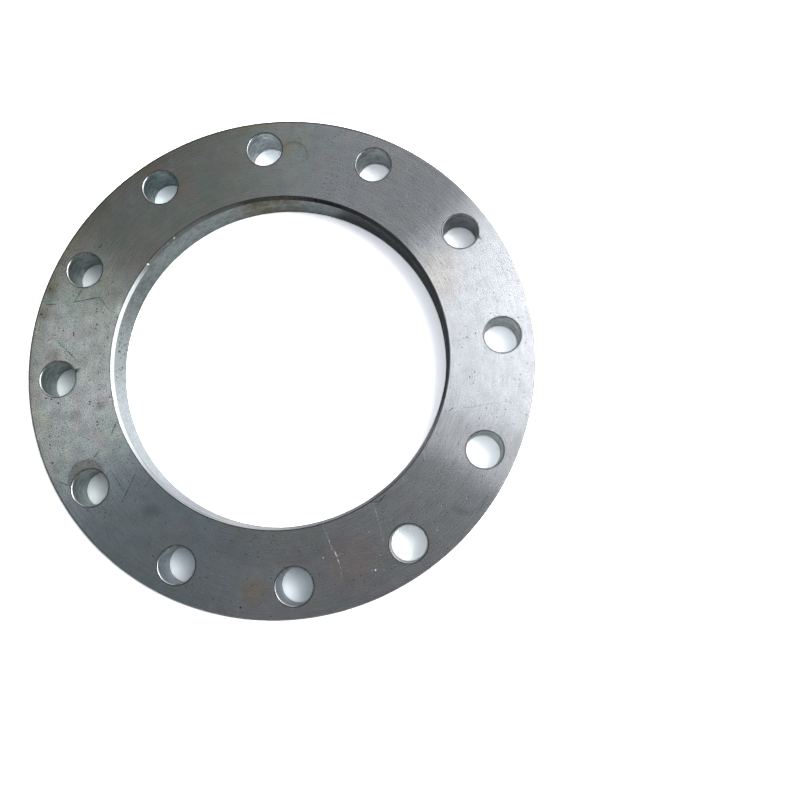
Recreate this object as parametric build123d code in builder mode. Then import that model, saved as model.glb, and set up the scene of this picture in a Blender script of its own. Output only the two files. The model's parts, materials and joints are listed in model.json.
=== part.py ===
from build123d import *
import os

# Slip on plate flange with flat faces, which is pushed over a pipe's end and welded there.
# Millimetres. The origin is the centre of the lower face, and +Z runs up the bore.

# Driving dimensions
thickness = 22.0

# The pipe slides through the bore, and the weld sits in the chamfer at the upper mouth.
pipe_diameter = 216.3
pipe_clearance = 0.35
weld_chamfer = 1.8
bore_edge_break = 0.5

# The bolt holes stand on one circle, astride the two centre lines.
bolt_circle_diameter = 290.0
bolt_count = 12
bolt_diameter = 20.0
bolt_clearance = 1.5
bolt_hole_edge_break = 0.5

# The rim leaves room round the bolts for their nuts and washers.
bolt_circle_to_rim = 20.0
rim_edge_break = 0.8

# Derived sizes
bore_radius = pipe_diameter / 2 + pipe_clearance
bolt_circle_radius = bolt_circle_diameter / 2
bolt_hole_radius = bolt_diameter / 2 + bolt_clearance
first_bolt_angle = 360.0 / bolt_count / 2
outside_radius = bolt_circle_radius + bolt_circle_to_rim

with BuildPart() as slip_on_flange:
    # The ring is turned: its section, with every corner broken, goes once round the bore's axis.
    with BuildSketch(Plane.XZ) as ring_section:
        with BuildLine() as section_outline:
            Polyline(
                (bore_radius, bore_edge_break),
                (bore_radius + bore_edge_break, 0),
                (outside_radius - rim_edge_break, 0),
                (outside_radius, rim_edge_break),
                (outside_radius, thickness - rim_edge_break),
                (outside_radius - rim_edge_break, thickness),
                (bore_radius + weld_chamfer, thickness),
                (bore_radius, thickness - weld_chamfer),
                close=True,
            )
        make_face()
    revolve(axis=Axis.Z)

    # The bolt holes are drilled right through, and their mouths are deburred on both faces.
    with PolarLocations(bolt_circle_radius, bolt_count, start_angle=first_bolt_angle):
        Hole(radius=bolt_hole_radius)
    hole_mouths = slip_on_flange.edges(Select.LAST).filter_by(GeomType.CIRCLE)
    chamfer(hole_mouths, length=bolt_hole_edge_break)

slip_on_flange.part.label = "slip_on_flange"

os.makedirs("parts", exist_ok=True)
export_step(slip_on_flange.part, "parts/slip_on_flange.step")
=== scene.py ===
import json
import math

import bmesh
import bpy
from mathutils import Matrix, Vector


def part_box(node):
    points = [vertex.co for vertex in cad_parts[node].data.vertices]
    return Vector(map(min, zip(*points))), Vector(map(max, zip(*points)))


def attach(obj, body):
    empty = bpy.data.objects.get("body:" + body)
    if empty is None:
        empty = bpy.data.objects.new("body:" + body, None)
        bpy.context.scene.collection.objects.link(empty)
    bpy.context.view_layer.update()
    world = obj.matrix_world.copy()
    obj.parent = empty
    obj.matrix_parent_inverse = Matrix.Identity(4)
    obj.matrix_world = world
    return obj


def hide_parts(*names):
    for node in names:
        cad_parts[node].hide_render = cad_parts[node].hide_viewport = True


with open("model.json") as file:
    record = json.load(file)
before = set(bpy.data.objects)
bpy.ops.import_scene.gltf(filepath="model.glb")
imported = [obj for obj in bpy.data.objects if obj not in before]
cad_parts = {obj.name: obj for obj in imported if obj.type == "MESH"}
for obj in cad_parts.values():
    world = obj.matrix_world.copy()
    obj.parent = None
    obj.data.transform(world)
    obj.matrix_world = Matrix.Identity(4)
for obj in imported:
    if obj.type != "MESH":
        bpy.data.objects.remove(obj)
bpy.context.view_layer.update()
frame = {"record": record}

# A slip on plate flange, faced and bored on a lathe and drilled for twelve bolts.
# It lies on its lower face. Metres, in the frame of the solids: the bore's axis is +Z.

MM = 0.001
UP = Vector((0, 0, 1))
full_turn = 2 * math.pi

# Sizes from the frame
mounts = {mount["name"]: mount for mount in frame["record"]["mounts"]}
lowest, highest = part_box("slip_on_flange")
outside_radius = highest[0]
thickness = highest[2] - lowest[2]
bore_radius = mounts["bore"]["dims"]["r_mm"] * MM
bolt_circle_radius = mounts["bolt_holes"]["dims"]["pcd_mm"] * MM / 2
bolt_hole_radius = mounts["bolt_holes"]["dims"]["hole_r_mm"] * MM
bolt_count = mounts["bolt_holes"]["dims"]["count"]

# Broken corners
weld_chamfer = 1.8 * MM
bore_edge_break = 0.5 * MM
bolt_hole_edge_break = 0.5 * MM
rim_edge_break = 0.8 * MM
burr_round = 0.1 * MM
face_inner_radius = bore_radius + weld_chamfer
face_outer_radius = outside_radius - rim_edge_break
underside_inner_radius = bore_radius + bore_edge_break
mouth_radius = bolt_hole_radius + bolt_hole_edge_break

# Steps of the mesh: a sector holds one bolt hole, and its outline has as many steps as the hole's mouth.
hole_steps = 144
inner_arc_steps = 32
outer_arc_steps = 52
side_steps = (hole_steps - inner_arc_steps - outer_arc_steps) // 2
sector_angle = full_turn / bolt_count
hole_centre = Matrix.Rotation(sector_angle / 2, 3, "Z") @ Vector((bolt_circle_radius, 0, 0))
face_rings = 8
underside_rings = 4
burr_steps = 2

# Steps down each wall, one number for each part of its section
chamfer_runs = (3,)
bore_runs = (10, 1)
rim_runs = (1, 8, 1)
hole_runs = (1, 6, 1)

# Points nearer than the seam's gap are merged, and edges under the shortest one are closed. Corners over
# the corner's angle are rounded, and edges that still turn by more than the crease's are shaded sharp.
seam_gap = 0.02 * MM
shortest_edge = 0.0005 * MM
corner_angle = math.radians(20)
crease_angle = math.radians(8)

# Nicks in the edges, in millimetres: place, reach, depth away from an axis, depth downwards, and that axis
nicks = [
    ((-87.8, 64.4, 22.0), 1.4, 0.5, 0.5, (0.0, 0.0)),
    ((-84.9, 68.9, 22.0), 1.2, 0.4, 0.4, (0.0, 0.0)),
    ((-98.5, 48.7, 22.0), 1.1, 0.3, 0.3, (0.0, 0.0)),
    ((-101.2, -44.8, 22.0), 1.7, 0.5, 0.5, (0.0, 0.0)),
    ((-130.0, -30.8, 22.0), 1.8, 0.6, 0.6, (-140.1, -37.5)),
    ((114.3, 100.6, 22.0), 1.1, 0.35, 0.4, (102.5, 102.5)),
]
nick_margin = 1.2
nick_cuts = 3

# Materials, in the order of the mesh's slots
FACED, UNDERSIDE, BORED, CHAMFERED, DRILLED, RIM = range(6)


# Mesh

def arc(bm, radius, steps):
    """A chain of edges round one sector. Returns its two ends."""
    start = bm.verts.new((radius, 0, 0))
    made = bmesh.ops.spin(
        bm, geom=[start], cent=(0, 0, 0), axis=UP, dvec=(0, 0, 0), angle=sector_angle, steps=steps
    )
    end = next(item for item in made["geom_last"] if isinstance(item, bmesh.types.BMVert))
    return start, end


def sector_sheet(inner_radius, z, rings):
    """One sector of a flat face, in rings from the bolt hole's mouth out to the sector's outline."""
    bm = bmesh.new()
    inner = arc(bm, inner_radius, inner_arc_steps)
    outer = arc(bm, face_outer_radius, outer_arc_steps)
    sides = [bm.edges.new(pair) for pair in zip(inner, outer)]
    bmesh.ops.subdivide_edges(bm, edges=sides, cuts=side_steps - 1)
    bmesh.ops.create_circle(
        bm, cap_ends=False, segments=hole_steps, radius=mouth_radius, matrix=Matrix.Translation(hole_centre)
    )
    loops = set(bm.edges)
    made = bmesh.ops.bridge_loops(bm, edges=list(loops))
    crossing = [edge for edge in made["edges"] if edge not in loops]
    bmesh.ops.subdivide_edges(bm, edges=crossing, cuts=rings - 1, use_grid_fill=True)
    bmesh.ops.translate(bm, verts=bm.verts, vec=(0, 0, z))
    return bm


def turned_wall(section, runs, angle, steps, centre=(0, 0, 0)):
    """A wall turned about an upright axis. Section holds its corners, and runs the steps between them."""
    bm = bmesh.new()
    corners = [bm.verts.new(Vector(centre) + Vector((radius, 0, z))) for radius, z in section]
    edges = [bm.edges.new(pair) for pair in zip(corners, corners[1:])]
    for edge, run in zip(edges, runs):
        bmesh.ops.subdivide_edges(bm, edges=[edge], cuts=run - 1)
    bmesh.ops.spin(
        bm, geom=bm.verts[:] + bm.edges[:], cent=centre, axis=UP, dvec=(0, 0, 0),
        angle=angle, steps=steps, use_merge=angle >= full_turn,
    )
    return bm


def join(whole, piece, material):
    """Moves a piece's faces into the whole and gives them their material."""
    for face in piece.faces:
        face.material_index = material
    carrier = bpy.data.meshes.new("carrier")
    piece.to_mesh(carrier)
    piece.free()
    whole.from_mesh(carrier)
    bpy.data.meshes.remove(carrier)


def build_sector():
    """One bolt hole with the faces and walls round it, as far as halfway to its neighbours."""
    top = thickness
    chamfer_section = [(face_inner_radius, top), (bore_radius, top - weld_chamfer)]
    bore_section = [
        (bore_radius, top - weld_chamfer),
        (bore_radius, bore_edge_break),
        (underside_inner_radius, 0),
    ]
    rim_section = [
        (face_outer_radius, top),
        (outside_radius, top - rim_edge_break),
        (outside_radius, rim_edge_break),
        (face_outer_radius, 0),
    ]
    hole_section = [
        (mouth_radius, top),
        (bolt_hole_radius, top - bolt_hole_edge_break),
        (bolt_hole_radius, bolt_hole_edge_break),
        (mouth_radius, 0),
    ]
    sector = bmesh.new()
    join(sector, sector_sheet(face_inner_radius, top, face_rings), FACED)
    join(sector, sector_sheet(underside_inner_radius, 0, underside_rings), UNDERSIDE)
    join(sector, turned_wall(chamfer_section, chamfer_runs, sector_angle, inner_arc_steps), CHAMFERED)
    join(sector, turned_wall(bore_section, bore_runs, sector_angle, inner_arc_steps), BORED)
    join(sector, turned_wall(rim_section, rim_runs, sector_angle, outer_arc_steps), RIM)
    join(sector, turned_wall(hole_section, hole_runs, full_turn, hole_steps, hole_centre), DRILLED)
    return sector


def strike_nick(bm, place, reach, sideways, downwards, axis):
    """A small dent in an edge, with finer mesh round it."""
    place = Vector(place) * MM
    near = (reach + nick_margin) * MM
    edges = [edge for edge in bm.edges if all((vert.co - place).length < near for vert in edge.verts)]
    bmesh.ops.subdivide_edges(bm, edges=edges, cuts=nick_cuts, use_grid_fill=True)
    outward = Vector((place.x - axis[0] * MM, place.y - axis[1] * MM, 0)).normalized()
    move = (outward * sideways - UP * downwards) * MM
    for vert in bm.verts:
        share = 1 - (vert.co - place).length / (reach * MM)
        if share > 0:
            vert.co += move * share * share * (3 - 2 * share)


def build_flange():
    """The whole flange as one closed mesh, with its corners rounded and its nicks struck."""
    bm = build_sector()
    bmesh.ops.spin(
        bm, geom=bm.verts[:] + bm.edges[:] + bm.faces[:], cent=(0, 0, 0), axis=UP, dvec=(0, 0, 0),
        angle=full_turn - sector_angle, steps=bolt_count - 1, use_duplicate=True,
    )
    bmesh.ops.remove_doubles(bm, verts=bm.verts, dist=seam_gap)
    bmesh.ops.recalc_face_normals(bm, faces=bm.faces)
    corners = [edge for edge in bm.edges if edge.calc_face_angle(0) > corner_angle]
    bmesh.ops.bevel(
        bm, geom=corners, offset=burr_round, segments=burr_steps, profile=0.5, affect="EDGES", material=-1,
        clamp_overlap=True,
    )
    for nick in nicks:
        strike_nick(bm, *nick)
    many_sided = [face for face in bm.faces if len(face.verts) > 4]
    bmesh.ops.triangulate(bm, faces=many_sided, quad_method="BEAUTY", ngon_method="BEAUTY")
    bmesh.ops.dissolve_degenerate(bm, dist=shortest_edge, edges=bm.edges)
    mesh = bpy.data.meshes.new("turned_flange")
    bm.to_mesh(mesh)
    bm.free()
    mesh.polygons.foreach_set("use_smooth", [True] * len(mesh.polygons))
    mesh.set_sharp_from_angle(angle=crease_angle)
    return mesh


def put_in_scene(name, data):
    """A new object in the scene."""
    made = bpy.data.objects.new(name, data)
    bpy.context.scene.collection.objects.link(made)
    return made


# Nodes

def add(tree, kind, inputs=None, **settings):
    """A shader node with its settings, and its inputs linked or set."""
    made = tree.nodes.new("ShaderNode" + kind)
    for name, value in settings.items():
        setattr(made, name, value)
    for name, value in (inputs or {}).items():
        if isinstance(value, bpy.types.NodeSocket):
            tree.links.new(value, made.inputs[name])
        else:
            made.inputs[name].default_value = value
    return made


def calc(tree, operation, *terms, clamp=False):
    """One step of arithmetic."""
    made = add(tree, "Math", dict(enumerate(terms)), operation=operation, use_clamp=clamp)
    return made.outputs[0]


def vector(tree, operation, *terms):
    """One step of arithmetic with vectors. A length, a distance and a dot product are numbers."""
    made = add(tree, "VectorMath", dict(enumerate(terms)), operation=operation)
    return made.outputs["Value" if operation in ("LENGTH", "DISTANCE", "DOT_PRODUCT") else "Vector"]


def scaled(tree, source, factor):
    """A vector made longer or shorter."""
    made = add(tree, "VectorMath", {0: source, "Scale": factor}, operation="SCALE")
    return made.outputs["Vector"]


def from_parts(tree, x=0.0, y=0.0, z=0.0):
    """A vector from its three parts."""
    return add(tree, "CombineXYZ", {"X": x, "Y": y, "Z": z}).outputs[0]


def way_at(tree, angle):
    """The level way at an angle in radians."""
    return from_parts(tree, calc(tree, "COSINE", angle), calc(tree, "SINE", angle))


def object_place(tree):
    """The place of a point on its object, in metres."""
    return add(tree, "TexCoord").outputs["Object"]


def ramp(tree, value, low, high, to_low=0.0, to_high=1.0):
    """A smooth step from one number to another, as the value goes from low to high."""
    made = add(
        tree, "MapRange",
        {"Value": value, "From Min": low, "From Max": high, "To Min": to_low, "To Max": to_high},
        interpolation_type="SMOOTHSTEP", clamp=False,
    )
    return made.outputs["Result"]


def blend(tree, factor, low, high):
    """A number between low and high."""
    return calc(tree, "MULTIPLY_ADD", factor, high - low, low)


def both(tree, *masks):
    """The share that all of some masks leave."""
    total = masks[0]
    for mask in masks[1:]:
        total = calc(tree, "MULTIPLY", total, mask)
    return total


def noise(tree, place, scale, detail=2.0, roughness=0.5):
    """An uneven tone from 0 to 1."""
    inputs = {"Vector": place, "Scale": scale, "Detail": detail, "Roughness": roughness}
    return add(tree, "TexNoise", inputs).outputs["Fac"]


def grey(tree, value):
    """A grey of this brightness."""
    return add(tree, "CombineColor", {0: value, 1: value, 2: value}).outputs[0]


def mix(tree, factor, first, second, blend_type="MIX"):
    """Mixes two colours, each of them linked or given as three numbers."""
    first, second = ((*colour, 1) if isinstance(colour, tuple) else colour for colour in (first, second))
    inputs = {0: factor, 6: first, 7: second}
    return add(tree, "Mix", inputs, data_type="RGBA", blend_type=blend_type).outputs[2]


def tinted(tree, colour, mask, tint):
    """The colour, times the tint where the mask is 1."""
    return mix(tree, mask, colour, tint, "MULTIPLY")


def use_group(tree, group, **inputs):
    """The outputs of a node group, with its inputs linked or set. An underscore stands for a blank."""
    inputs = {name.replace("_", " "): value for name, value in inputs.items()}
    return add(tree, "Group", inputs, node_tree=group).outputs


def new_group(name, inputs, **outputs):
    """An empty node group. Inputs holds each input's first value, and outputs each output's kind."""
    tree = bpy.data.node_groups.new(name, "ShaderNodeTree")
    for label, value in inputs.items():
        kind = "Vector" if isinstance(value, tuple) else "Float"
        socket = tree.interface.new_socket(label, in_out="INPUT", socket_type="NodeSocket" + kind)
        socket.default_value = value
    for label, kind in outputs.items():
        tree.interface.new_socket(label, in_out="OUTPUT", socket_type="NodeSocket" + kind)
    return tree, tree.nodes.new("NodeGroupInput").outputs, tree.nodes.new("NodeGroupOutput").inputs


# Effects that the materials share, in millimetres

def make_place_group():
    """Where a point is: its place, its radius, its height and the way out from the bore's axis."""
    tree, _, given = new_group("place", {}, Place="Vector", Radius="Float", Height="Float", Outward="Vector")
    place = scaled(tree, object_place(tree), 1 / MM)
    flat = vector(tree, "MULTIPLY", place, (1, 1, 0))
    tree.links.new(place, given["Place"])
    tree.links.new(vector(tree, "LENGTH", flat), given["Radius"])
    tree.links.new(add(tree, "SeparateXYZ", {0: place}).outputs["Z"], given["Height"])
    tree.links.new(vector(tree, "NORMALIZE", flat), given["Outward"])
    return tree


def make_sector_group(place_group):
    """A share from 0 to 1 that is 1 round one direction, given by its angle in degrees."""
    inputs = {"Angle": 0.0, "Half width": 30.0, "Softness": 10.0}
    tree, asked, given = new_group("sector", inputs, Mask="Float")
    outward = use_group(tree, place_group)["Outward"]
    way = way_at(tree, calc(tree, "RADIANS", asked["Angle"]))
    apart = calc(tree, "ARCCOSINE", vector(tree, "DOT_PRODUCT", outward, way))
    inside = calc(tree, "SUBTRACT", asked["Half width"], calc(tree, "DEGREES", apart))
    share = calc(tree, "DIVIDE", inside, asked["Softness"])
    tree.links.new(ramp(tree, share, -1.0, 1.0), given["Mask"])
    return tree


def make_marks_group():
    """Marks left by a lathe tool, which run along one way and change across it. Tone goes from 0 to 1."""
    inputs = {"Across": 0.0, "Along": (0, 0, 0), "Pitch": 0.4, "Runs": 4.0, "Depth": 0.004}
    tree, asked, given = new_group("turning marks", inputs, Height="Float", Tone="Float")
    across = from_parts(tree, z=calc(tree, "DIVIDE", asked["Across"], asked["Pitch"]))
    stretched = vector(tree, "ADD", scaled(tree, asked["Along"], asked["Runs"]), across)
    tone = noise(tree, stretched, 1.0, 3.0, 0.6)
    height = calc(tree, "MULTIPLY", calc(tree, "SUBTRACT", tone, 0.5), asked["Depth"])
    tree.links.new(height, given["Height"])
    tree.links.new(tone, given["Tone"])
    return tree


def make_blotch_group(place_group):
    """Soft uneven patches. Share is how much of the surface they cover, from 0 to 1."""
    inputs = {"Size": 20.0, "Share": 0.5, "Softness": 0.12, "Offset": 0.0}
    tree, asked, given = new_group("blotches", inputs, Mask="Float")
    place = use_group(tree, place_group)["Place"]
    place = scaled(tree, place, calc(tree, "DIVIDE", 1.0, asked["Size"]))
    place = vector(tree, "ADD", place, from_parts(tree, x=asked["Offset"]))
    tone = noise(tree, place, 1.0, 4.0, 0.55)
    border = ramp(tree, asked["Share"], 0.0, 1.0, 0.75, 0.25)
    depth = calc(tree, "DIVIDE", calc(tree, "SUBTRACT", tone, border), asked["Softness"])
    tree.links.new(ramp(tree, depth, -1.0, 1.0), given["Mask"])
    return tree


def make_speck_group(place_group, name, dimensions):
    """Small dark specks strewn over a surface. Share is the part of the cells that hold one."""
    inputs = {"Spacing": 4.0, "Size": 0.4, "Share": 0.5}
    tree, asked, given = new_group(name, inputs, Mask="Float")
    place = use_group(tree, place_group)["Place"]
    place = scaled(tree, place, calc(tree, "DIVIDE", 1.0, asked["Spacing"]))
    cells = add(
        tree, "TexVoronoi", {"Vector": place, "Scale": 1.0},
        feature="F1", voronoi_dimensions=dimensions,
    ).outputs
    chance = add(tree, "SeparateColor", {0: cells["Color"]}).outputs
    size = calc(tree, "MULTIPLY", asked["Size"], blend(tree, chance["Green"], 0.4, 1.0))
    apart = calc(tree, "MULTIPLY", cells["Distance"], asked["Spacing"])
    spot = ramp(tree, calc(tree, "DIVIDE", apart, size), 1.0, 0.7)
    chosen = calc(tree, "LESS_THAN", chance["Red"], asked["Share"])
    tree.links.new(both(tree, spot, chosen), given["Mask"])
    return tree


def make_line_group():
    """How far a point is from a straight line between two places."""
    inputs = {"Place": (0, 0, 0), "From": (0, 0, 0), "To": (1, 0, 0)}
    tree, asked, given = new_group("line", inputs, Distance="Float")
    reach = vector(tree, "SUBTRACT", asked["To"], asked["From"])
    here = vector(tree, "SUBTRACT", asked["Place"], asked["From"])
    square = vector(tree, "DOT_PRODUCT", reach, reach)
    along = calc(tree, "DIVIDE", vector(tree, "DOT_PRODUCT", here, reach), square)
    along = add(tree, "Clamp", {"Value": along}).outputs[0]
    apart = vector(tree, "DISTANCE", here, scaled(tree, reach, along))
    tree.links.new(apart, given["Distance"])
    return tree


def make_patch_group():
    """A round stain, or a ring where Inner is above 0. Wander is how far its border strays. Side is the way
    from its centre in which it is strongest, and 0 where it is strong all round."""
    inputs = {
        "Place": (0, 0, 0), "Centre": (0, 0, 0), "Inner": 0.0, "Outer": 5.0, "Edge": 1.0, "Wander": 0.0,
        "Side": (0, 0, 0),
    }
    tree, asked, given = new_group("patch", inputs, Mask="Float")
    apart = vector(tree, "DISTANCE", asked["Place"], asked["Centre"])
    apart = calc(tree, "ADD", asked["Wander"], apart)
    outer = calc(tree, "DIVIDE", calc(tree, "SUBTRACT", asked["Outer"], apart), asked["Edge"])
    inner = calc(tree, "DIVIDE", calc(tree, "SUBTRACT", apart, asked["Inner"]), asked["Edge"])
    solid = calc(tree, "LESS_THAN", asked["Inner"], 0.001)
    inner = calc(tree, "MAXIMUM", ramp(tree, inner, -1.0, 1.0), solid)
    way = vector(tree, "NORMALIZE", vector(tree, "SUBTRACT", asked["Place"], asked["Centre"]))
    turned = vector(tree, "DOT_PRODUCT", way, asked["Side"])
    sideless = calc(tree, "LESS_THAN", vector(tree, "LENGTH", asked["Side"]), 0.001)
    turned = calc(tree, "MAXIMUM", ramp(tree, turned, 0.1, 0.6), sideless)
    tree.links.new(both(tree, ramp(tree, outer, -1.0, 1.0), inner, turned), given["Mask"])
    return tree


def make_hole_group(place_group):
    """The way out from the axis of the nearest bolt hole, and the distance from it."""
    tree, _, given = new_group("hole place", {}, Outward="Vector", Distance="Float")
    place = use_group(tree, place_group)["Place"]
    parts = add(tree, "SeparateXYZ", {0: place}).outputs
    angle = calc(tree, "ARCTAN2", parts["Y"], parts["X"])
    number = calc(tree, "FLOOR", calc(tree, "DIVIDE", angle, sector_angle))
    angle = calc(tree, "MULTIPLY", calc(tree, "ADD", number, 0.5), sector_angle)
    centre = scaled(tree, way_at(tree, angle), bolt_circle_radius / MM)
    apart = vector(tree, "MULTIPLY", vector(tree, "SUBTRACT", place, centre), (1, 1, 0))
    tree.links.new(vector(tree, "NORMALIZE", apart), given["Outward"])
    tree.links.new(vector(tree, "LENGTH", apart), given["Distance"])
    return tree


def make_groups():
    """The node groups, by the names that the materials call them."""
    place = make_place_group()
    return {
        "place": place,
        "sector": make_sector_group(place),
        "marks": make_marks_group(),
        "blotches": make_blotch_group(place),
        "face specks": make_speck_group(place, "face specks", "2D"),
        "wall specks": make_speck_group(place, "wall specks", "3D"),
        "line": make_line_group(),
        "patch": make_patch_group(),
        "hole place": make_hole_group(place),
    }


# Materials

def new_material(name):
    """A material with no nodes yet, and its tree."""
    material = bpy.data.materials.new(name)
    material.use_nodes = True
    material.node_tree.nodes.clear()
    return material, material.node_tree


def turned_steel(name, anisotropy, axis="place"):
    """Bare steel with marks along the rings that a tool leaves, round the bore's axis or a bolt hole's.
    Returns the material, its tree, its shader, where a point is, and the way out from the axis."""
    material, tree = new_material(name)
    here = use_group(tree, groups["place"])
    outward = use_group(tree, groups[axis])["Outward"]
    tangent = vector(tree, "NORMALIZE", vector(tree, "CROSS_PRODUCT", (0, 0, 1), outward))
    shader = add(tree, "BsdfPrincipled", {
        "Metallic": 1.0, "Anisotropic": anisotropy, "Anisotropic Rotation": 0.25, "Tangent": tangent,
    })
    add(tree, "OutputMaterial", {"Surface": shader.outputs[0]})
    return material, tree, shader, here, outward


def finish_steel(tree, shader, colour, roughness, height, scuffs=None):
    """Links a surface's values to its shader. Scuffs scatter light as a pale powder does."""
    tree.links.new(colour, shader.inputs["Base Color"])
    tree.links.new(roughness, shader.inputs["Roughness"])
    if scuffs is not None:
        tree.links.new(blend(tree, scuffs, 1.0, 0.15), shader.inputs["Metallic"])
    relief = add(tree, "Bump", {"Height": height, "Distance": MM})
    tree.links.new(relief.outputs[0], shader.inputs["Normal"])


def finish_matt(tree, colour):
    """Gives a material a matt surface of this colour."""
    surface = add(tree, "BsdfDiffuse", {"Color": colour})
    add(tree, "OutputMaterial", {"Surface": surface.outputs[0]})


def scratches(tree, place, lines, border):
    """The strongest of some scratches at a place. Border is how far their sides fade."""
    strongest = None
    for x0, y0, x1, y1, width, strength in lines:
        apart = use_group(tree, groups["line"], Place=place, From=(x0, y0, 0), To=(x1, y1, 0))["Distance"]
        shown = ramp(tree, apart, width / 2 + border, width / 2 - 0.1, 0.0, strength)
        strongest = shown if strongest is None else calc(tree, "MAXIMUM", strongest, shown)
    return strongest


def nearest_spot(tree, place, spots):
    """How far a point lies outside the nearest of some round spots."""
    nearest = None
    for x, y, spot_radius in spots:
        apart = vector(tree, "DISTANCE", place, (x, y, 0))
        border = calc(tree, "SUBTRACT", apart, spot_radius)
        nearest = border if nearest is None else calc(tree, "MINIMUM", nearest, border)
    return nearest


# Marks on the upper face, in millimetres. Scratches: both ends, width and strength
dark_scratches = [
    (-139.1, 23.3, -141.7, 14.8, 0.5, 0.8),
    (-141.7, 14.8, -126.5, 20.6, 0.5, 0.9),
    (-125.4, 20.3, -118.3, 14.1, 0.4, 0.8),
    (-160.1, 10.3, -153.8, 11.3, 0.6, 0.8),
    (-150.0, -10.6, -153.4, -14.3, 0.4, 0.8),
    (-146.8, -12.6, -131.2, -23.0, 0.4, 1.0),
    (-95.5, -60.1, -96.9, -66.4, 0.5, 0.9),
    (-101.8, -78.2, -105.2, -84.6, 0.5, 0.9),
    (-105.2, -84.6, -108.0, -88.0, 0.3, 0.6),
    (-92.4, -89.2, -80.8, -100.7, 0.3, 0.8),
    (-76.0, -89.8, -80.3, -108.1, 0.4, 0.9),
    (-65.1, -90.2, -68.8, -96.9, 0.4, 0.5),
    (-122.7, -102.2, -116.7, -103.3, 0.5, 0.8),
    (75.5, -81.4, 80.0, -80.6, 0.4, 1.0),
    (80.0, -80.6, 83.1, -75.8, 0.4, 1.0),
    (122.5, -13.7, 138.9, -8.4, 0.3, 0.35),
    (138.9, -8.4, 150.0, -4.6, 0.3, 0.2),
    (5.0, -117.7, 8.3, -114.7, 0.6, 0.5),
    (-130.1, -30.7, -127.4, -28.4, 0.7, 1.0),
    (111.6, -17.4, 112.8, -18.2, 0.5, 0.9),
    (114.2, -16.6, 115.4, -15.2, 0.4, 0.8),
    (-134.0, 55.0, -131.0, 57.5, 0.3, 0.7),
    (-151.3, 50.3, -145.2, 51.2, 0.3, 0.6),
    (-112.0, 36.0, -107.0, 41.0, 0.3, 0.4),
    (60.0, 100.0, 78.0, 88.0, 0.2, 0.3),
    (70.0, -92.0, 96.0, -64.0, 0.2, 0.25),
    (76.0, -105.0, 104.0, -78.0, 0.2, 0.25),
]
light_scratches = [
    (47.9, -100.1, 52.0, -106.5, 0.3, 0.4),
    (52.0, -106.5, 56.4, -113.9, 0.35, 0.9),
    (58.0, -114.5, 60.5, -118.5, 0.4, 0.9),
    (60.5, -118.5, 62.5, -122.0, 0.3, 0.8),
    (63.5, -123.5, 65.7, -130.0, 0.3, 0.4),
    (60.0, -118.0, 63.0, -115.0, 0.25, 0.4),
    (76.5, -81.6, 83.1, -94.5, 0.25, 0.5),
    (83.1, -94.5, 87.0, -104.4, 0.2, 0.45),
    (92.7, -63.7, 94.0, -65.7, 0.35, 0.8),
    (102.7, -45.3, 103.7, -49.5, 0.35, 0.7),
    (67.8, 119.6, 81.8, 111.9, 0.3, 0.5),
    (62.6, 122.0, 64.2, 121.4, 0.5, 0.8),
]

# Pits and specks: place and radius
pits = [
    (-125.6, 12.7, 0.6), (-125.2, 10.9, 0.5), (-120.9, 10.9, 0.5), (-123.0, 2.3, 0.6),
    (-115.1, 2.0, 0.5), (-123.2, -0.6, 0.6), (-144.2, -5.2, 0.5), (-137.2, -5.7, 0.6),
    (-136.8, -7.1, 0.6), (-114.1, -5.3, 0.6), (-118.9, 32.2, 0.5), (-120.3, 23.9, 0.5),
    (-143.3, 19.2, 0.5), (-153.1, 14.8, 0.5), (-128.6, -12.0, 0.5), (-115.7, -48.7, 0.6),
    (-115.3, -50.4, 0.5), (-107.6, -60.5, 0.6), (-107.2, -62.2, 0.5), (-136.3, -74.9, 0.6),
    (-130.5, -73.9, 0.5), (-134.7, -80.2, 0.6), (-134.2, -82.1, 0.5), (-130.2, -91.2, 0.6),
    (-114.8, -11.0, 0.5), (-111.1, 52.8, 0.4), (-108.1, 72.3, 0.4), (7.2, -158.1, 0.6),
    (26.6, -159.9, 0.5), (149.1, -10.3, 0.5), (123.4, 6.7, 0.5), (117.8, 32.2, 0.5),
    (-1.5, 130.1, 0.5), (-16.1, 151.9, 0.5), (8.2, 156.2, 0.4), (36.0, 162.0, 0.6),
    (-144.6, -51.1, 0.7), (-141.2, -51.2, 0.6), (-135.8, -52.9, 0.6), (-103.6, -43.4, 0.5),
    (-160.1, 21.0, 0.7), (-161.6, 3.3, 0.7), (-133.4, 54.6, 0.5), (-130.1, 58.3, 0.5),
    (114.4, 101.6, 0.7),
]
bright_specks = [
    (85.1, -121.8, 0.45), (-82.7, 123.2, 0.15), (77.0, -99.8, 0.2), (74.0, -103.5, 0.15),
    (130.1, -100.7, 0.5), (44.0, -131.0, 0.35), (52.0, -120.0, 0.3), (-29.0, 141.0, 0.3),
]

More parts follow.
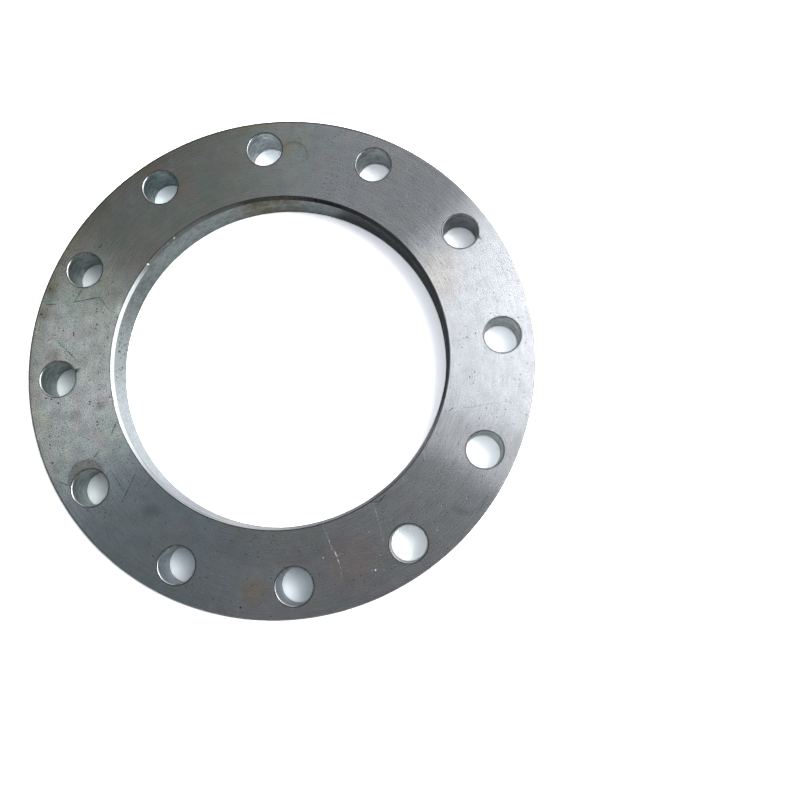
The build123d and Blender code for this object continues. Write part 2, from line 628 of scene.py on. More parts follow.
# Washer marks and smudges: tint, unevenness of the border, place, radius and edge, and for a ring its
# inner radius and the side on which it is strongest
stains = [
    ((0.66, 0.64, 0.59), 1.2, -106.3, -96.8, 11.9, 0.5),
    ((0.92, 0.92, 0.90), 1.5, -140.7, -28.8, 11.3, 0.6),
    ((0.80, 0.77, 0.75), 4.0, -147.0, -22.5, 5.0, 1.5),
    ((0.95, 0.86, 0.76), 1.0, -17.5, 138.8, 9.6, 0.8, 7.6, (-0.5, 0.86, 0)),
    ((0.78, 0.74, 0.72), 1.0, -17.5, 138.8, 10.2, 0.4, 9.0, (0.6, 0.8, 0)),
    ((0.97, 0.91, 0.82), 3.0, -24.0, 142.5, 5.0, 2.5),
    ((0.76, 0.78, 0.77), 6.0, -122.9, -59.6, 3.4, 1.6),
    ((0.78, 0.80, 0.79), 6.0, -136.6, -59.4, 3.6, 1.6),
    ((0.84, 0.84, 0.86), 9.0, -132.6, -66.8, 7.0, 3.0),
    ((0.72, 0.75, 0.74), 5.0, -108.4, -50.8, 2.6, 1.2),
    ((0.78, 0.82, 0.80), 4.0, -127.0, -24.0, 3.4, 2.0),
    ((0.86, 0.88, 0.87), 6.0, -118.0, -16.0, 4.5, 2.5),
    ((1.04, 0.98, 1.0), 5.0, -107.9, -71.0, 4.0, 2.5),
    ((1.05, 1.02, 0.92), 5.0, -141.3, -66.9, 4.0, 2.0),
    ((0.78, 0.80, 0.81), 8.0, -61.0, -110.0, 5.0, 3.0),
    ((1.06, 0.95, 0.82), 6.0, 13.0, -147.0, 7.5, 3.5),
    ((0.80, 0.74, 0.66), 6.0, -160.1, 22.0, 4.5, 2.5),
    ((0.78, 0.72, 0.66), 5.0, -161.0, 3.3, 4.0, 2.0),
    ((0.97, 0.94, 0.90), 6.0, 101.0, 60.8, 6.0, 4.0),
    ((1.02, 0.97, 0.91), 10.0, 92.0, 74.0, 13.0, 7.0),
    ((0.86, 0.86, 0.87), 3.0, 133.0, -66.5, 13.5, 0.8, 10.0, (0.5, -0.86, 0)),
    ((1.08, 0.97, 0.94), 14.0, 70.0, -118.0, 16.0, 8.0),
    ((0.97, 0.97, 0.98), 10.0, 62.0, -103.0, 9.0, 5.0),
    ((1.04, 0.93, 0.84), 6.0, -111.5, 113.8, 6.0, 4.0),
    ((1.08, 0.96, 0.92), 8.0, -84.7, 103.9, 8.0, 5.0),
]
light_smudge = (-111.2, 14.6, 0)

# Parts of the turn: angle, half width and softness in degrees
left_part = (194.0, 32.0, 8.0)
calm_part = (124.0, 26.0, 14.0)
bright_part = (12.0, 31.0, 6.0)
bottom_part = (252.0, 24.0, 8.0)
upper_side_part = (68.0, 23.0, 6.0)
lower_side_part = (-36.0, 22.0, 5.0)
film_left_part = (194.0, 28.0, 9.0)
film_upper_left_part = (132.0, 42.0, 14.0)
film_lit_part = (12.0, 60.0, 16.0)
bore_upper_left_part = (125.0, 50.0, 14.0)
bore_brown_part = (106.0, 9.0, 8.0)
bore_oil_part = (105.0, 10.0, 5.0)
bore_clean_part = (187.0, 12.0, 5.0)
chamfer_lower_left_part = (240.0, 32.0, 8.0)
chamfer_top_part = (98.0, 17.0, 6.0)
burr_part = (150.0, 6.0, 2.0)
rim_shade_part = (128.0, 50.0, 20.0)

# Bands in millimetres, above the lower face or from the bore's axis: where each starts and where it is full
bore_oil_band = (12.0, 21.0)
bore_foot_shade_band = (1.6, 0.4)
hole_foot_shade_band = (1.5, 0.5)
deburred_band = (21.3, 21.5)
burr_band = (21.5, 21.8)
rim_shade_band = (21.0, 21.4)
rim_side_band = (152.0, 160.0)

# Tints over parts of the turn
film_tints = [
    ((244.0, 26.0, 14.0), (0.735, 0.83, 0.845)),
    ((96.0, 14.0, 10.0), (0.94, 0.95, 0.98)),
    ((104.0, 5.0, 5.0), (0.92, 0.93, 0.94)),
    (film_upper_left_part, (0.97, 0.99, 0.90)),
    ((160.0, 12.0, 6.0), (0.90, 0.88, 0.86)),
    (film_left_part, (0.90, 0.95, 0.89)),
]
# Painted light and shade on the chamfer: darkest at the right and the top, lighter at the lower left
chamfer_light_and_shade_tints = [
    ((38.0, 50.0, 8.0), (0.22, 0.22, 0.24)),
    ((82.0, 14.0, 5.0), (0.72, 0.70, 0.74)),
    (chamfer_top_part, (0.40, 0.38, 0.35)),
    ((119.0, 9.0, 4.0), (0.70, 0.72, 0.68)),
    ((272.0, 16.0, 7.0), (1.18, 1.14, 1.08)),
    ((-34.0, 24.0, 8.0), (0.74, 0.74, 0.76)),
]
# Darker and lighter parts of the bore's wall: at the upper left partly scale and partly painted shade
bore_scale_and_shade_tints = [
    (bore_upper_left_part, (0.515, 0.55, 0.535)),
    ((175.0, 23.0, 9.0), (0.74, 0.75, 0.74)),
    ((210.0, 22.0, 10.0), (1.06, 1.06, 1.06)),
    ((258.0, 16.0, 10.0), (0.80, 0.77, 0.81)),
]
# Tints of the hole walls by part of the turn; the darker one at 45 degrees is a painted shadow
hole_tone_and_shade_tints = [
    ((0.0, 34.0, 12.0), (1.35, 1.34, 1.33)),
    ((45.0, 9.0, 2.0), (0.74, 0.74, 0.75)),
    ((100.0, 12.0, 3.0), (1.18, 1.20, 1.22)),
    ((135.0, 9.0, 2.0), (0.76, 0.86, 0.88)),
    ((185.0, 48.0, 15.0), (0.56, 0.62, 0.60)),
    ((270.0, 28.0, 12.0), (0.60, 0.66, 0.72)),
]

# Tinted bands of the upper face: radius where each starts and where it is full, part of the turn, tint
film_bands = [
    (136.0, 128.0, (280.0, 16.0, 6.0), (0.88, 0.88, 0.88)),
    (152.0, 164.0, (165.0, 52.0, 18.0), (0.91, 0.87, 0.80)),
    (152.0, 164.0, (180.0, 17.0, 6.0), (0.82, 0.84, 0.84)),
    (160.9, 161.5, (104.0, 7.0, 3.0), (1.10, 0.98, 0.82)),
    # Painted shade: a thin dark line on the face along its outer edge, at the left
    (163.2, 163.8, (155.0, 80.0, 12.0), (0.30, 0.29, 0.28)),
]


def region(tree, part):
    """A share that is 1 over a part of the turn."""
    angle, half_width, softness = part
    return use_group(tree, groups["sector"], Angle=angle, Half_width=half_width, Softness=softness)["Mask"]


def toned(tree, colour, tints):
    """The colour, tinted over some parts of the turn."""
    for part, tint in tints:
        colour = tinted(tree, colour, region(tree, part), tint)
    return colour


def blotches(tree, size, share, softness, offset):
    """A mask of soft uneven patches."""
    made = use_group(tree, groups["blotches"], Size=size, Share=share, Softness=softness, Offset=offset)
    return made["Mask"]


def specks(tree, kind, spacing, size, share):
    """A mask of small specks."""
    return use_group(tree, groups[kind + " specks"], Spacing=spacing, Size=size, Share=share)["Mask"]


def tool_marks(tree, across, along, pitch, runs, depth):
    """The height and tone of a tool's marks."""
    return use_group(tree, groups["marks"], Across=across, Along=along, Pitch=pitch, Runs=runs, Depth=depth)


def mottled_grain(tree, place, size, low, high, detail=3.0, roughness=0.6):
    """A fine uneven grain, as a grey to multiply a colour with."""
    tone = noise(tree, place, 1 / size, detail, roughness)
    return grey(tree, ramp(tree, tone, 0.3, 0.7, low, high))


def face_film(tree, here, colour):
    """The film of oil on the upper face: blue grey below, green grey at the left, brown by the rim, and a
    thin line of painted shade along the rim's edge at the left.
    """
    upper_left = region(tree, film_upper_left_part)
    left = region(tree, film_left_part)
    dull = calc(tree, "MAXIMUM", upper_left, left)
    colour = toned(tree, colour, film_tints)

    # Slow changes of hue, faint where the light is brightest
    inputs = {"Vector": here["Place"], "Scale": 0.10, "Detail": 3.0, "Roughness": 0.6}
    hues = add(tree, "TexNoise", inputs).outputs["Color"]
    hues = mix(tree, 1.0, hues, (0.30, 0.22, 0.28), "MULTIPLY")
    hues = mix(tree, 1.0, hues, (0.85, 0.89, 0.86), "ADD")
    lit = region(tree, film_lit_part)
    colour = tinted(tree, colour, blend(tree, lit, 0.75, 0.12), hues)

    # Purple, green, dark and pale patches
    for patches, where, tint in (
        (blotches(tree, size=15.0, share=0.45, softness=0.08, offset=3.0), dull, (0.99, 0.95, 0.96)),
        (blotches(tree, size=24.0, share=0.45, softness=0.10, offset=9.0), upper_left, (0.91, 0.98, 0.96)),
        (blotches(tree, size=11.0, share=0.34, softness=0.05, offset=5.0), left, (0.85, 0.86, 0.86)),
        (blotches(tree, size=14.0, share=0.34, softness=0.08, offset=14.0), left, (1.08, 1.08, 1.07)),
    ):
        colour = tinted(tree, colour, both(tree, patches, where), tint)
    for start, full, part, tint in film_bands:
        band = both(tree, ramp(tree, here["Radius"], start, full), region(tree, part))
        colour = tinted(tree, colour, band, tint)
    return colour


def face_grain(tree, place, colour, sides):
    """Clouds and fine grain on the upper face, strongest at the left and the sides."""
    left = region(tree, left_part)
    clouds = mottled_grain(tree, place, size=8.0, low=0.89, high=1.11, detail=2.0, roughness=0.5)
    colour = tinted(tree, colour, blend(tree, left, 0.45, 1.0), clouds)
    strength = calc(tree, "MAXIMUM", blend(tree, left, 0.55, 0.88), calc(tree, "MULTIPLY", sides, 1.15))
    for part, least in ((calm_part, 0.6), (bright_part, 0.4), (bottom_part, 0.75)):
        strength = both(tree, strength, blend(tree, region(tree, part), 1.0, least))
    fine = mottled_grain(tree, place, size=0.6, low=0.66, high=1.34, detail=1.0, roughness=0.5)
    return tinted(tree, colour, strength, fine)


def face_strokes(tree, colour, radius, torn, feed, sides):
    """Short and long strokes of the tool, clearest at the sides, and a lighter face towards the rim there."""
    rim_side = both(tree, sides, ramp(tree, radius, *rim_side_band))
    colour = tinted(tree, colour, rim_side, (1.05, 1.05, 1.05))
    short = ramp(tree, torn["Tone"], 0.35, 0.65, -1.0, 1.0)
    short = calc(tree, "MULTIPLY", short, blend(tree, sides, 0.035, 0.06))
    long = ramp(tree, feed["Tone"], 0.35, 0.65, -0.015, 0.03)
    strokes = calc(tree, "ADD", calc(tree, "MULTIPLY_ADD", long, sides, short), 1.0)
    return mix(tree, 1.0, colour, grey(tree, strokes), "MULTIPLY")


def patch(tree, place, wander, x, y, outer, edge, inner=0.0, side=(0, 0, 0)):
    """A mask of one stain. Side is the way in which a ring is strongest."""
    return use_group(
        tree, groups["patch"], Place=place, Centre=(x, y, 0), Inner=inner, Outer=outer, Edge=edge,
        Wander=wander, Side=side,
    )["Mask"]


def face_stains(tree, place, wavy, colour):
    """Washer marks, smudges and brown patches on the upper face."""
    stray = calc(tree, "SUBTRACT", noise(tree, place, 0.15, 3.0, 0.6), 0.5)
    for tint, uneven, *shape in stains:
        wander = calc(tree, "MULTIPLY", stray, uneven)
        colour = tinted(tree, colour, patch(tree, wavy, wander, *shape), tint)
    return colour


def face_hollows(tree, place, wavy):
    """A mask of the upper face's pits, specks and dark scratches."""
    broken = ramp(tree, noise(tree, place, 0.6, 2.0), 0.42, 0.55)
    line = both(tree, scratches(tree, wavy, dark_scratches, 0.25), blend(tree, broken, 0.45, 1.0))
    pit = ramp(tree, nearest_spot(tree, wavy, pits), 0.12, -0.15)
    gathered = ramp(tree, noise(tree, place, 0.07, 1.0), 0.42, 0.6)
    many = specks(tree, "face", spacing=2.3, size=0.55, share=0.2)
    many = both(tree, many, region(tree, left_part), gathered)
    few = specks(tree, "face", spacing=3.6, size=0.58, share=0.26)
    few = both(tree, few, blend(tree, region(tree, calm_part), 1.0, 0.2))
    speck = calc(tree, "MULTIPLY", calc(tree, "MAXIMUM", many, few), 0.8)
    return calc(tree, "MAXIMUM", calc(tree, "MAXIMUM", pit, speck), line)


def face_shine(tree, place, wavy):
    """A mask of the upper face's light scratches and bright specks."""
    dashes = ramp(tree, noise(tree, place, 0.9, 1.0), 0.42, 0.6)
    line = both(tree, scratches(tree, wavy, light_scratches, 0.2), blend(tree, dashes, 0.1, 1.0))
    bright = ramp(tree, nearest_spot(tree, wavy, bright_specks), 0.2, -0.1)
    return calc(tree, "MAXIMUM", line, bright)


def face_roughness(tree, place, torn, feed):
    """Two finenesses of tool mark that change from place to place, so that light fans out over the rings."""
    left = region(tree, left_part)
    fine = noise(tree, place, 5.0, 1.0)
    rings = calc(tree, "SUBTRACT", torn["Tone"], fine)
    share = calc(tree, "MULTIPLY_ADD", rings, blend(tree, left, 0.14, 0.06), fine)
    roughness = blend(tree, ramp(tree, share, 0.46, 0.54), 0.195, 0.356)
    roughness = calc(tree, "MULTIPLY_ADD", calc(tree, "SUBTRACT", feed["Tone"], 0.5), 0.015, roughness)
    return calc(tree, "MULTIPLY_ADD", left, 0.03, roughness)


def faced_steel():
    """The upper face: rings from the lathe tool, a film of oil, and the marks of storage and handling."""
    material, tree, shader, here, outward = turned_steel("faced steel", 1.0)
    place = vector(tree, "MULTIPLY", here["Place"], (1, 1, 0))
    radius = here["Radius"]
    torn = tool_marks(tree, radius, outward, pitch=0.4, runs=7.0, depth=0.0004)
    feed = tool_marks(tree, radius, outward, pitch=1.3, runs=7.0, depth=0.0009)
    sides = calc(tree, "MAXIMUM", region(tree, lower_side_part), region(tree, upper_side_part))

    colour = mix(tree, feed["Tone"], (0.535, 0.56, 0.595), (0.570, 0.595, 0.63))
    colour = face_film(tree, here, colour)
    colour = face_grain(tree, place, colour, sides)
    colour = face_strokes(tree, colour, radius, torn, feed, sides)

    # The borders of the marks stray a little.
    stray = calc(tree, "SUBTRACT", noise(tree, place, 0.8, 2.0), 0.5)
    wavy = vector(tree, "ADD", place, scaled(tree, (1, 1, 0), calc(tree, "MULTIPLY", stray, 0.8)))
    colour = face_stains(tree, place, wavy, colour)
    hollow = face_hollows(tree, place, wavy)
    colour = tinted(tree, colour, hollow, (0.14, 0.14, 0.14))

    # Old oil stays at the mouths of the bore and the bolt holes.
    to_mouth = calc(tree, "SUBTRACT", use_group(tree, groups["hole place"])["Distance"], mouth_radius / MM)
    to_bore = calc(tree, "SUBTRACT", radius, face_inner_radius / MM)
    oil = ramp(tree, calc(tree, "MINIMUM", to_mouth, to_bore), 0.75, 0.35)
    colour = tinted(tree, colour, oil, (0.22, 0.22, 0.22))
    shine = face_shine(tree, place, wavy)
    colour = mix(tree, shine, colour, (0.88, 0.89, 0.90))
    smudge = vector(tree, "MULTIPLY", vector(tree, "SUBTRACT", place, light_smudge), (1.0, 0.55, 0))
    smudge = ramp(tree, vector(tree, "LENGTH", smudge), 3.4, 0.4)
    colour = tinted(tree, colour, smudge, (1.35, 1.35, 1.35))

    roughness = face_roughness(tree, place, torn, feed)
    roughness = calc(tree, "MULTIPLY_ADD", smudge, 0.06, roughness)
    roughness = calc(tree, "MULTIPLY_ADD", shine, 0.35, roughness, clamp=True)
    height = calc(tree, "ADD", torn["Height"], feed["Height"])
    height = calc(tree, "MULTIPLY_ADD", hollow, -0.05, height)
    finish_steel(tree, shader, colour, roughness, height, shine)
    return material


def chamfered_steel():
    """The weld chamfer: a narrow cone with a few clear tool lines, with painted shade at the right and the
    top and a painted highlight at the lower left.
    """
    material, tree, shader, here, outward = turned_steel("chamfered steel", 0.9)
    lines = tool_marks(tree, here["Radius"], outward, pitch=0.45, runs=1.0, depth=0.004)
    fine = tool_marks(tree, here["Height"], outward, pitch=0.12, runs=6.0, depth=0.001)
    lower_left = region(tree, chamfer_lower_left_part)
    groove = ramp(tree, lines["Tone"], 0.48, 0.36)
    groove = both(tree, groove, blend(tree, lower_left, 0.25, 1.0))
    # Painted highlight: the chamfer's lower left is painted lighter.
    colour = mix(tree, lower_left, (0.66, 0.69, 0.71), (0.82, 0.87, 0.92))
    colour = tinted(tree, colour, groove, (0.45, 0.46, 0.48))
    dirt = blotches(tree, size=3.0, share=0.35, softness=0.1, offset=2.0)
    dirt = both(tree, dirt, region(tree, chamfer_top_part))
    colour = tinted(tree, colour, dirt, (0.55, 0.52, 0.46))
    # Painted shade and painted light over parts of the turn
    colour = toned(tree, colour, chamfer_light_and_shade_tints)
    burr = both(tree, ramp(tree, here["Height"], *burr_band), region(tree, burr_part))
    colour = mix(tree, burr, colour, (0.95, 0.95, 0.95))
    roughness = blend(tree, fine["Tone"], 0.22, 0.36)
    height = calc(tree, "ADD", lines["Height"], fine["Height"])
    finish_steel(tree, shader, colour, roughness, height)
    return material


def bored_steel():
    """The bore's wall: dull, with scale and old oil towards the upper left, where it is also darkened by
    painted shade, and painted shade at its foot.
    """
    material, tree, shader, here, outward = turned_steel("bored steel", 0.6)
    marks = tool_marks(tree, here["Height"], outward, pitch=0.8, runs=9.0, depth=0.006)
    colour = mix(tree, marks["Tone"], (0.50, 0.545, 0.565), (0.60, 0.64, 0.66))
    colour = toned(tree, colour, bore_scale_and_shade_tints)
    upper_left = region(tree, bore_upper_left_part)
    scale = blotches(tree, size=5.0, share=0.5, softness=0.15, offset=1.0)
    colour = tinted(tree, colour, both(tree, scale, upper_left), (0.85, 0.84, 0.82))
    colour = tinted(tree, colour, calc(tree, "MULTIPLY", scale, 0.5), (0.88, 0.89, 0.90))
    colour = tinted(tree, colour, 1.0, mottled_grain(tree, here["Place"], size=1.2, low=0.80, high=1.18))
    brown = blotches(tree, size=9.0, share=0.6, softness=0.15, offset=4.0)
    brown = both(tree, brown, region(tree, bore_brown_part))
    colour = tinted(tree, colour, brown, (0.84, 0.72, 0.52))
    oil = blotches(tree, size=4.0, share=0.5, softness=0.1, offset=6.0)
    high = ramp(tree, here["Height"], *bore_oil_band)
    oil = both(tree, oil, region(tree, bore_oil_part), high)
    colour = tinted(tree, colour, oil, (0.40, 0.36, 0.28))
    speck = specks(tree, "wall", spacing=1.9, size=1.05, share=0.34)
    speck = both(tree, speck, blend(tree, region(tree, bore_clean_part), 0.25, 1.0))
    colour = tinted(tree, colour, speck, (0.22, 0.22, 0.22))
    # Painted shade: the foot of the wall is darkened where it meets the floor.
    foot = ramp(tree, here["Height"], *bore_foot_shade_band)
    colour = tinted(tree, colour, foot, (0.60, 0.60, 0.60))
    roughness = blend(tree, scale, 0.38, 0.48)
    roughness = calc(tree, "MULTIPLY_ADD", upper_left, 0.06, roughness)
    height = calc(tree, "MULTIPLY_ADD", speck, -0.04, marks["Height"])
    finish_steel(tree, shader, colour, roughness, height)
    return material


def drilled_steel():
    """The walls of the bolt holes: rings from the drill, some dirt, a brighter deburred mouth, painted shade
    at their foot, and a painted shadow on the hole at 45 degrees.
    """
    material, tree, shader, here, outward = turned_steel("drilled steel", 0.5, "hole place")
    marks = tool_marks(tree, here["Height"], outward, pitch=2.4, runs=2.2, depth=0.012)
    tone = ramp(tree, marks["Tone"], 0.36, 0.64)
    colour = mix(tree, tone, (0.47, 0.51, 0.53), (0.71, 0.76, 0.78))
    colour = toned(tree, colour, hole_tone_and_shade_tints)
    dirt = blotches(tree, size=5.0, share=0.4, softness=0.2, offset=7.0)
    colour = tinted(tree, colour, dirt, (0.80, 0.78, 0.74))
    colour = tinted(tree, colour, 1.0, mottled_grain(tree, here["Place"], size=1.0, low=0.88, high=1.10))
    # Painted shade: the foot of each hole's wall is darkened where it meets the floor.
    foot = ramp(tree, here["Height"], *hole_foot_shade_band)
    colour = tinted(tree, colour, foot, (0.35, 0.35, 0.35))
    deburred = ramp(tree, here["Height"], *deburred_band)
    colour = mix(tree, deburred, colour, (0.92, 0.93, 0.95))
    roughness = blend(tree, marks["Tone"], 0.28, 0.46)
    roughness = calc(tree, "MULTIPLY_ADD", deburred, -0.08, roughness)
    finish_steel(tree, shader, colour, roughness, marks["Height"])
    return material


def rim_steel():
    """The rim: turned more coarsely than the face, with patches of old oil, and painted shade on its upper
    edge towards the upper left.
    """
    material, tree, shader, here, outward = turned_steel("rim steel", 0.8)
    marks = tool_marks(tree, here["Height"], outward, pitch=0.7, runs=6.0, depth=0.015)
    colour = mix(tree, marks["Tone"], (0.42, 0.44, 0.455), (0.60, 0.62, 0.635))
    oil = blotches(tree, size=14.0, share=0.45, softness=0.15, offset=2.5)
    colour = tinted(tree, colour, oil, (0.82, 0.79, 0.74))
    colour = tinted(tree, colour, 1.0, mottled_grain(tree, here["Place"], size=1.2, low=0.88, high=1.08))
    speck = specks(tree, "wall", spacing=2.2, size=0.6, share=0.25)
    colour = tinted(tree, colour, speck, (0.5, 0.48, 0.45))
    # Painted shade: the rim's upper edge is darkened towards the upper left.
    edge = both(tree, ramp(tree, here["Height"], *rim_shade_band), region(tree, rim_shade_part))
    colour = tinted(tree, colour, edge, (0.30, 0.29, 0.28))
    roughness = calc(tree, "MULTIPLY_ADD", oil, 0.06, blend(tree, marks["Tone"], 0.28, 0.42))
    height = calc(tree, "MULTIPLY_ADD", speck, -0.03, marks["Height"])
    finish_steel(tree, shader, colour, roughness, height)
    return material


def underside_steel():
    """The lower face: faced like the upper one, and rubbed where it has stood on others."""
    material, tree, shader, here, outward = turned_steel("underside steel", 0.9)
    marks = tool_marks(tree, here["Radius"], outward, pitch=0.9, runs=4.0, depth=0.005)
    colour = mix(tree, marks["Tone"], (0.44, 0.46, 0.47), (0.58, 0.60, 0.61))
    oil = blotches(tree, size=24.0, share=0.5, softness=0.15, offset=6.0)
    colour = tinted(tree, colour, oil, (0.88, 0.85, 0.78))
    speck = specks(tree, "face", spacing=3.5, size=0.5, share=0.3)
    colour = tinted(tree, colour, speck, (0.35, 0.33, 0.30))
    rubbed = blotches(tree, size=11.0, share=0.3, softness=0.08, offset=8.0)
    roughness = calc(tree, "MULTIPLY_ADD", rubbed, 0.08, blend(tree, marks["Tone"], 0.26, 0.38))
    height = calc(tree, "MULTIPLY_ADD", speck, -0.03, marks["Height"])
    finish_steel(tree, shader, colour, roughness, height)
    return material


# Studio

camera_place = Vector((112.9, -88.2, 490.0)) * MM
camera_target = Vector((82.2, -15.05, 22.0)) * MM
picture_up_angle = math.radians(99.66)
lens_mm = 33.572
lamp_reach = 4.0

# Energy that a square metre of lamp takes for a brightness of 1
lamp_energy = 4.0

# Windows: name, right and left side in degrees, sill and head as shares of their distance, brightness,
# lean of the right and the left side in degrees, and number of strips
windows = [
    ("window", -0.5, 36.0, 0.7, 1.6, 4.95, 6.0, 12.0, 4),
    ("window left", 36.0, 59.0, 0.7, 1.6, 6.3, 12.0, 12.0, 4),
    ("window head", 5.5, 58.0, 1.6, 3.2, 2.2, 12.0, 0.0, 3),
    ("window edge", 59.5, 71.0, 0.7, 1.6, 3.7, 12.0, 6.0, 3),
    ("narrow window", -15.0, -2.2, 0.7, 1.6, 3.5, 3.0, 6.0, 4),
    ("narrow window head", -12.0, 3.8, 1.6, 3.2, 1.0, 7.0, 12.0, 3),
    ("side window", 74.0, 120.0, 0.3, 1.6, 0.3, 0.0, 0.0, 1),
    ("low window", 15.0, 115.0, 0.02, 0.3, 0.52, 0.0, 0.0, 1),
]

# The floor, and the ring under the flange where a camera sees painted shade on it
floor_radius = 12.0
floor_steps = 96
floor_drop = 0.02 * MM
shade_start = bore_radius + 4 * MM
shade_edge = 6 * MM
shade_angle = math.radians(215)

# The dark card, a sheet of painted shade: reach from the bore's axis and height in millimetres, steps, and
# part of the turn
card_reach = (45.0, 107.5)
card_height = 0.3
card_steps = 24
card_start = math.radians(-50)
card_turn = math.radians(132)


def aim_camera():
    """The camera, at the place that the photograph was taken from."""
    data = bpy.data.cameras.new("camera")
    data.lens = lens_mm
    camera = put_in_scene("camera", data)
    back = (camera_place - camera_target).normalized()
    right = Vector((math.cos(picture_up_angle), math.sin(picture_up_angle), 0)).cross(back).normalized()
    turn = Matrix((right, back.cross(right), back)).transposed()
    camera.matrix_world = Matrix.Translation(camera_place) @ turn.to_4x4()
    bpy.context.scene.camera = camera


def hang_lamp(name, way, place, width, height, brightness):
    """A rectangular lamp that shines against its way. Brightness is that of its own surface."""
    data = bpy.data.lights.new(name, "AREA")
    data.shape = "RECTANGLE"
    data.size = width
    data.size_y = height
    data.energy = lamp_energy * width * height * brightness
    lamp = put_in_scene(name, data)
    lamp.location = place
    lamp.rotation_euler = way.to_track_quat("Z", "Y").to_euler()
    lamp.visible_camera = False


def hang_window(name, right_side, left_side, sill, head, brightness, right_lean, left_lean, strips):
    """An upright lamp between two azimuths, hung in strips. Its sides may lean from sill to head."""
    strip_height = (head - sill) / strips
    for strip in range(strips):
        share = (strip + 0.5) / strips
        right = right_side + right_lean * share
        left = left_side + left_lean * share
        middle = math.radians((right + left) / 2)
        way = Vector((math.cos(middle), math.sin(middle), 0))
        place = (way + UP * (sill + (head - sill) * share)) * lamp_reach
        width = 2 * lamp_reach * math.tan(math.radians(left - right) / 2)
        hang_lamp(name, way, place, width, lamp_reach * strip_height, brightness)


def hang_soft_box(name, azimuth, elevation, width, height, brightness):
    """A tilted lamp that faces the flange. Width and height are shares of its distance."""
    azimuth, elevation = math.radians(azimuth), math.radians(elevation)
    level_way = Vector((math.cos(azimuth), math.sin(azimuth), 0))
    way = level_way * math.cos(elevation) + UP * math.sin(elevation)
    hang_lamp(name, way, way * lamp_reach, lamp_reach * width, lamp_reach * height, brightness)


def pale_floor():
    """White to a camera and in the steel, but with painted shade under the flange's ring, darkest at the
    lower left.
    """
    material, tree = new_material("pale floor")
    path = add(tree, "LightPath").outputs
    mirrored = calc(tree, "MAXIMUM", path["Is Glossy Ray"], path["Is Transmission Ray"])
    place = object_place(tree)
    grain = noise(tree, place, 400.0)
    lit = mix(tree, grain, (0.80, 0.80, 0.80), (0.84, 0.84, 0.84))
    white = mix(tree, grain, (0.97, 0.97, 0.97), (1.0, 1.0, 1.0))
    colour = mix(tree, mirrored, lit, white)

    # What a camera sees: brighter than the floor is, so that it is white and keeps the flange's shadow
    shown = mix(tree, grain, (3.1, 3.1, 3.1), (3.2, 3.2, 3.2))
    # Painted shade on the floor under the ring, seen through the bolt holes, strongest at the lower left
    reach = vector(tree, "LENGTH", place)
    covered = both(
        tree, ramp(tree, reach, shade_start, shade_start + shade_edge),
        ramp(tree, reach, outside_radius, outside_radius - shade_edge),
    )
    lower_left = (math.cos(shade_angle), math.sin(shade_angle), 0)
    turned = vector(tree, "DOT_PRODUCT", vector(tree, "NORMALIZE", place), lower_left)
    under = mix(tree, ramp(tree, turned, -0.3, 0.6), (0.90, 0.91, 0.92), (0.37, 0.39, 0.395))
    shown = tinted(tree, shown, covered, under)
    finish_matt(tree, mix(tree, path["Is Camera Ray"], colour, shown))
    return material


def make_floor():
    """A wide round floor just under the flange."""
    bm = bmesh.new()
    bmesh.ops.create_circle(bm, cap_ends=True, segments=floor_steps, radius=floor_radius)
    mesh = bpy.data.meshes.new("floor")
    bm.to_mesh(mesh)
    bm.free()
    mesh.materials.append(pale_floor())
    floor = put_in_scene("floor", mesh)
    floor.location.z = -floor_drop


def painted_shade_card():
    """Nearly black, with a faint grain: the colour of a sheet of painted shade."""
    material, tree = new_material("dark card")
    grain = noise(tree, object_place(tree), 300.0)
    finish_matt(tree, mix(tree, grain, (0.02, 0.021, 0.023), (0.03, 0.031, 0.033)))
    return material


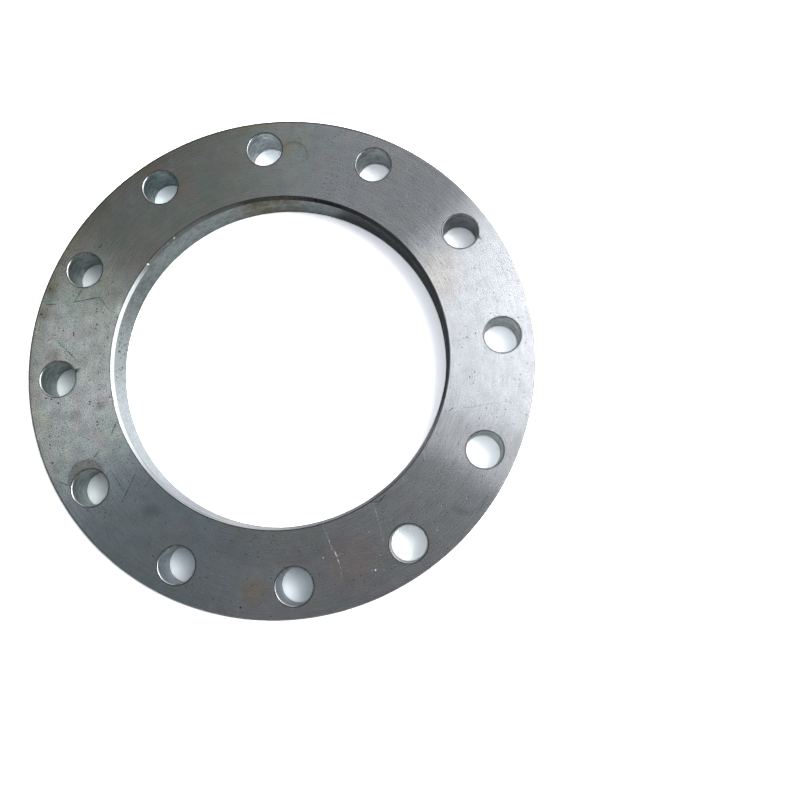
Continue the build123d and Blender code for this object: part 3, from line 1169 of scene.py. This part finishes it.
def lay_painted_shade_card():
    """A dark card on the floor beside the bore's right wall, a sheet of painted shade that darkens the
    steel's reflection of the floor there. It shows only where steel mirrors it.
    """
    bm = bmesh.new()
    ends = [bm.verts.new(Vector((reach, 0, card_height)) * MM) for reach in card_reach]
    side = bm.edges.new(ends)
    bmesh.ops.rotate(bm, verts=bm.verts, cent=(0, 0, 0), matrix=Matrix.Rotation(card_start, 3, "Z"))
    bmesh.ops.spin(
        bm, geom=bm.verts[:] + [side], cent=(0, 0, 0), axis=UP, dvec=(0, 0, 0),
        angle=card_turn, steps=card_steps,
    )
    mesh = bpy.data.meshes.new("card")
    bm.to_mesh(mesh)
    bm.free()
    mesh.materials.append(painted_shade_card())
    card = put_in_scene("card", mesh)
    card.visible_camera = False
    card.visible_diffuse = False
    card.visible_shadow = False


def make_world():
    """A dim room, darker near its floor, as steel mirrors it. It lights evenly and is white to a camera."""
    world = bpy.data.worlds.new("studio")
    world.use_nodes = True
    bpy.context.scene.world = world
    tree = world.node_tree
    tree.nodes.clear()
    path = add(tree, "LightPath").outputs
    rise = add(tree, "SeparateXYZ", {0: object_place(tree)}).outputs["Z"]
    tone = grey(tree, ramp(tree, rise, 0.05, 0.45, 0.045, 0.13))
    dim = add(tree, "Background", {"Color": tone})
    even = add(tree, "Background", {"Color": (0.305, 0.32, 0.345, 1)})
    white = add(tree, "Background", {"Color": (1, 1, 1, 1)})
    seen = dim.outputs[0]
    for ray, surface in (("Is Diffuse Ray", even), ("Is Camera Ray", white)):
        seen = add(tree, "MixShader", {0: path[ray], 1: seen, 2: surface.outputs[0]}).outputs[0]
    add(tree, "OutputWorld", {"Surface": seen})


groups = make_groups()
mesh = build_flange()
for make_steel in (faced_steel, underside_steel, bored_steel, chamfered_steel, drilled_steel, rim_steel):
    mesh.materials.append(make_steel())
flange = put_in_scene("turned_flange", mesh)
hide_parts("slip_on_flange")
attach(flange, "root")

aim_camera()
make_world()
make_floor()
lay_painted_shade_card()
for lamp in windows:
    hang_window(*lamp)
hang_soft_box("overhead", azimuth=85.0, elevation=78.0, width=0.8, height=0.62, brightness=0.21)
bpy.context.scene.view_settings.view_transform = "Standard"
